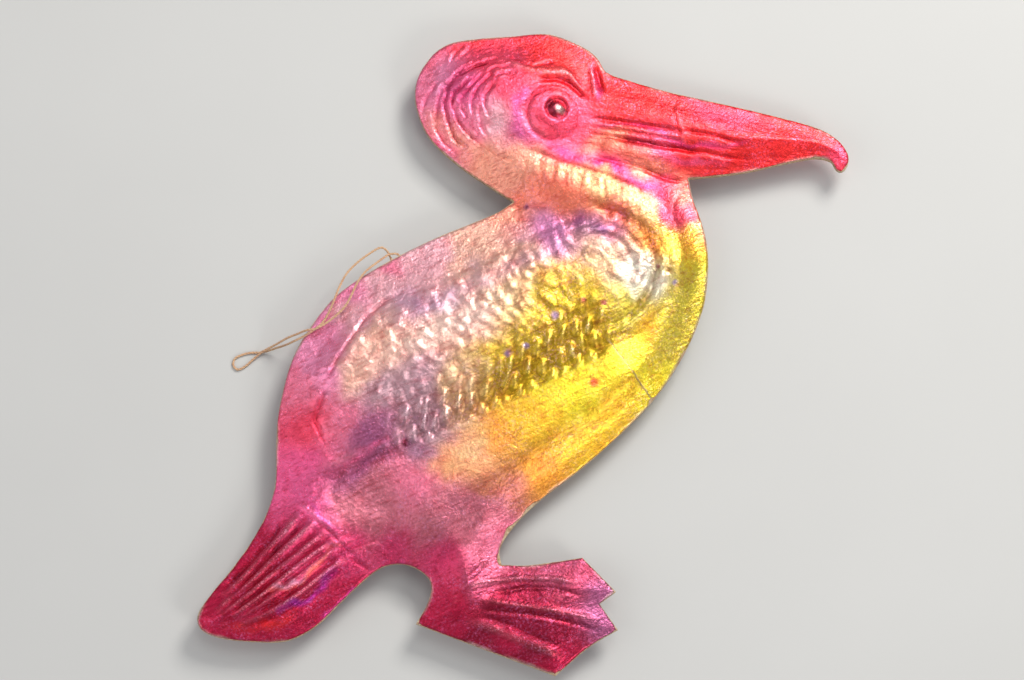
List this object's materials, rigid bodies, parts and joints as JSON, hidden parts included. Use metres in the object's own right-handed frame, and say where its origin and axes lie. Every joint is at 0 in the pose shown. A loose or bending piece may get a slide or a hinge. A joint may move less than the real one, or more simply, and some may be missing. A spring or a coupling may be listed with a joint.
{
  "type": "hanging bird ornament",
  "caption": "Embossed foil-card pelican ornament: two pressed half shells glued rim to rim, with a thread loop caught in the seam at the back.",
  "frame": {"origin": "middle of the bird's outline, on the surface that its back half lies on", "axes": "+X towards the beak, +Y towards the crown with the foot's sole level, +Z out of the front face"},
  "size_m": [0.0611, 0.0813, 0.0064],
  "materials": {
    "pasteboard": "raw cut edge of brown-cream pasteboard",
    "front_foil": "silver foil paper with red, pink, gold and violet transparent lacquer, embossed and crinkled",
    "back_foil": "silver foil paper with the same lacquer, embossed and crinkled",
    "glue": "dried amber paper glue",
    "thread": "twisted ecru cotton sewing thread"
  },
  "bodies": {
    "ornament": {"front_card": "pasteboard", "front_foil": "front_foil", "back_card": "pasteboard", "back_foil": "back_foil", "rim_glue": "glue", "thread_ends": "thread", "thread_knot": "thread", "glue_dab": "glue"},
    "hanging_loop": {"hanging_thread": "thread"}
  },
  "joints": [
    {"name": "loop_swing", "type": "hinge", "parent": "ornament", "child": "hanging_loop", "pos_m": [-0.0207, 0.0087, 0.0033], "axis": [0, 0, 1], "range_deg": [-105, 0]}
  ]
}
